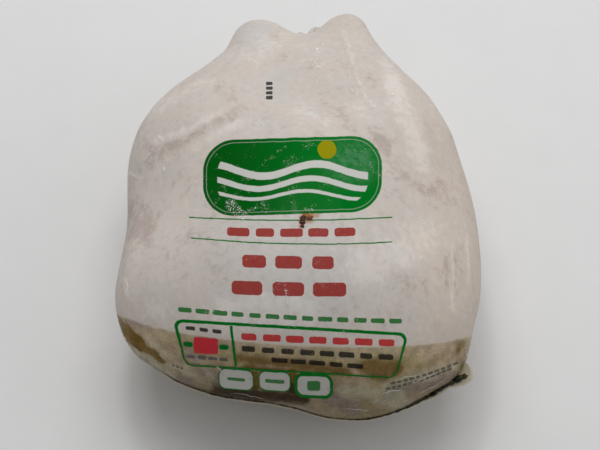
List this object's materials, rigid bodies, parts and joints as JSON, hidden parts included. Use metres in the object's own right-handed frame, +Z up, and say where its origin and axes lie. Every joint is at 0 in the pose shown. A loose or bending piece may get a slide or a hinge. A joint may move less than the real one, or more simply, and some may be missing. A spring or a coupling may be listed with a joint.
{
  "type": "whole raw chicken in a sealed shrink-film bag",
  "caption": "Whole raw broiler chicken lying on its back in a tight, milky printed shrink-film bag, clear at the neck end, sealed across both ends.",
  "frame": {"origin": "Middle of the footprint, on the surface the pack lies on.", "axes": "+Z up through the breast, +Y towards the hocks, -Y towards the neck end, +X to the right when the print is read from the neck end."},
  "size_m": [0.1822, 0.2328, 0.1123],
  "materials": {
    "film": "thin milky white shrink film with green, red and black print, clear at the neck end, wet gloss with fine creases",
    "raw_skin": "wet raw chicken skin seen through the film, olive brown and greyish pink, with feather follicles"
  },
  "bodies": {
    "root": {"wrapped_chicken": "film"}
  },
  "joints": []
}
